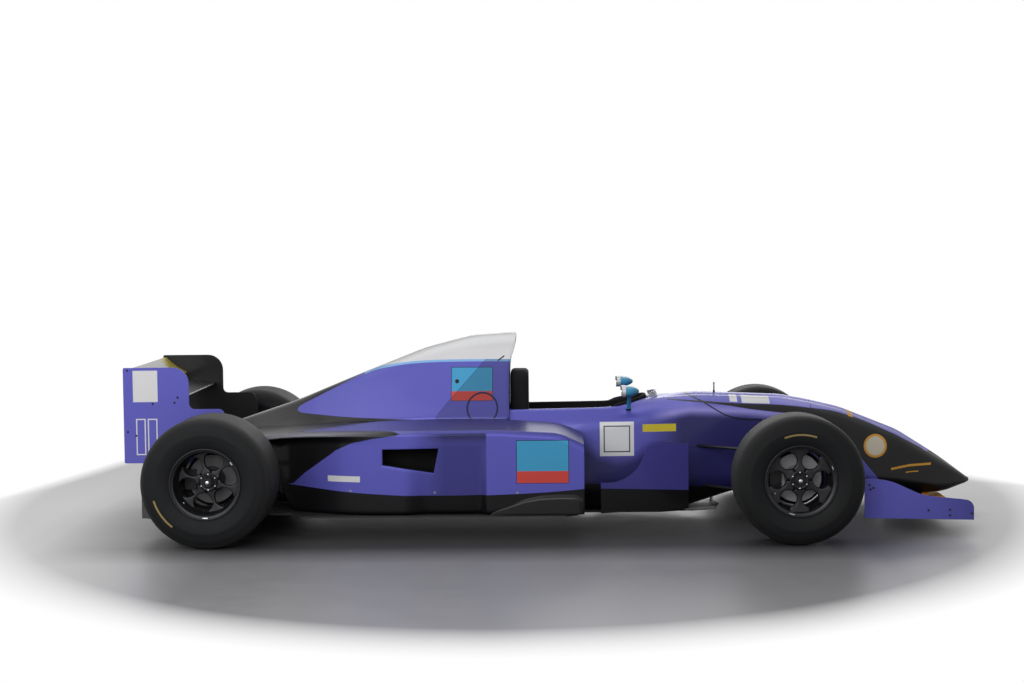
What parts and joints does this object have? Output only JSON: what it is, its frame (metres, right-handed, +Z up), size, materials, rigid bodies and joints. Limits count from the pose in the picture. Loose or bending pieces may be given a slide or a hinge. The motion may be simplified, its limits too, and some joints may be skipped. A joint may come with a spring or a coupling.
{
  "type": "open wheel racing car",
  "caption": "Open wheel single seater racing car with slick tyres, open cockpit, airbox, sidepods, front and rear wings, working steering and turning wheels.",
  "frame": {"origin": "on the ground under the middle of the car's bounding box", "axes": "+X forwards along the car, +Y to the driver's left, +Z up"},
  "size_m": [4.482, 1.99, 1.0147],
  "materials": {
    "paint": "gloss violet blue lacquer",
    "paint_black": "gloss black lacquer",
    "carbon": "satin carbon fibre",
    "plank_wood": "dark resin bonded wood",
    "pad": "black padding cloth",
    "screen": "clear polycarbonate",
    "mirror_shell": "gloss turquoise",
    "cast": "cast alloy",
    "steel": "bare steel",
    "black_steel": "satin black",
    "rim": "dark graphite",
    "rubber": "slick racing rubber",
    "core": "dark finned core",
    "lens": "red lens",
    "grip": "suede grip"
  },
  "bodies": {
    "chassis": {"monocoque": "paint", "nose_cone": "paint", "engine_cover": "paint", "sidepod_left": "paint", "sidepod_right": "paint", "floor_pan": "carbon", "plank": "plank_wood", "diffuser": "carbon", "radiators": "core", "bargeboards": "paint", "front_wing": "carbon", "front_wing_flaps": "carbon", "front_endplates": "paint", "rear_wing": "carbon", "rear_wing_flap": "paint", "rear_beam_wing": "carbon", "rear_endplates": "paint", "headrest": "pad", "seat": "carbon", "dash_panel": "carbon", "windscreen": "screen", "mirrors": "mirror_shell", "pitot": "steel", "engine_block": "cast", "gearbox": "cast", "crash_structure": "carbon", "rain_light": "lens", "front_arms_left": "black_steel", "front_arms_right": "black_steel", "rear_arms_left": "black_steel", "rear_arms_right": "black_steel", "rear_uprights": "cast"},
    "steering_wheel_body": {"steering_wheel": "grip"},
    "rack": {"track_rods": "steel"},
    "knuckle_l": {"knuckle_left": "cast"},
    "knuckle_r": {"knuckle_right": "cast"},
    "front_left": {"wheel_front_left": "rim", "tyre_front_left": "rubber"},
    "front_right": {"wheel_front_right": "rim", "tyre_front_right": "rubber"},
    "rear_left": {"wheel_rear_left": "rim", "tyre_rear_left": "rubber", "driveshaft_left": "steel"},
    "rear_right": {"wheel_rear_right": "rim", "tyre_rear_right": "rubber", "driveshaft_right": "steel"}
  },
  "joints": [
    {"name": "steering", "type": "hinge", "parent": "chassis", "child": "steering_wheel_body", "pos_m": [0.352, 0, 0.5], "axis": [-0.9781, 0, 0.2079], "range_deg": [-180, 180]},
    {"name": "rack_slide", "type": "slide", "parent": "chassis", "child": "rack", "axis": [0, 1, 0], "range_m": [-0.0263, 0.0263]},
    {"name": "steer_left", "type": "hinge", "parent": "chassis", "child": "knuckle_l", "pos_m": [1.195, 0.755, 0.321], "axis": [0, 0, 1], "range_deg": [-16.1, 16.1]},
    {"name": "steer_right", "type": "hinge", "parent": "chassis", "child": "knuckle_r", "pos_m": [1.195, -0.755, 0.321], "axis": [0, 0, 1], "range_deg": [-16.1, 16.1]},
    {"name": "spin_front_left", "type": "hinge", "parent": "knuckle_l", "child": "front_left", "pos_m": [1.195, 0.845, 0.321], "axis": [0, 1, 0], "continuous": true},
    {"name": "spin_front_right", "type": "hinge", "parent": "knuckle_r", "child": "front_right", "pos_m": [1.195, -0.845, 0.321], "axis": [0, 1, 0], "continuous": true},
    {"name": "spin_rear_left", "type": "hinge", "parent": "chassis", "child": "rear_left", "pos_m": [-1.735, 0.805, 0.327], "axis": [0, 1, 0], "continuous": true},
    {"name": "spin_rear_right", "type": "hinge", "parent": "chassis", "child": "rear_right", "pos_m": [-1.735, -0.805, 0.327], "axis": [0, 1, 0], "continuous": true}
  ],
  "couplings": [
    {"joint": "steer_left", "follows": "steering", "ratio": 0.088889},
    {"joint": "steer_right", "follows": "steering", "ratio": 0.088889},
    {"joint": "rack_slide", "follows": "steering", "m_per_rad": 0.008335}
  ]
}
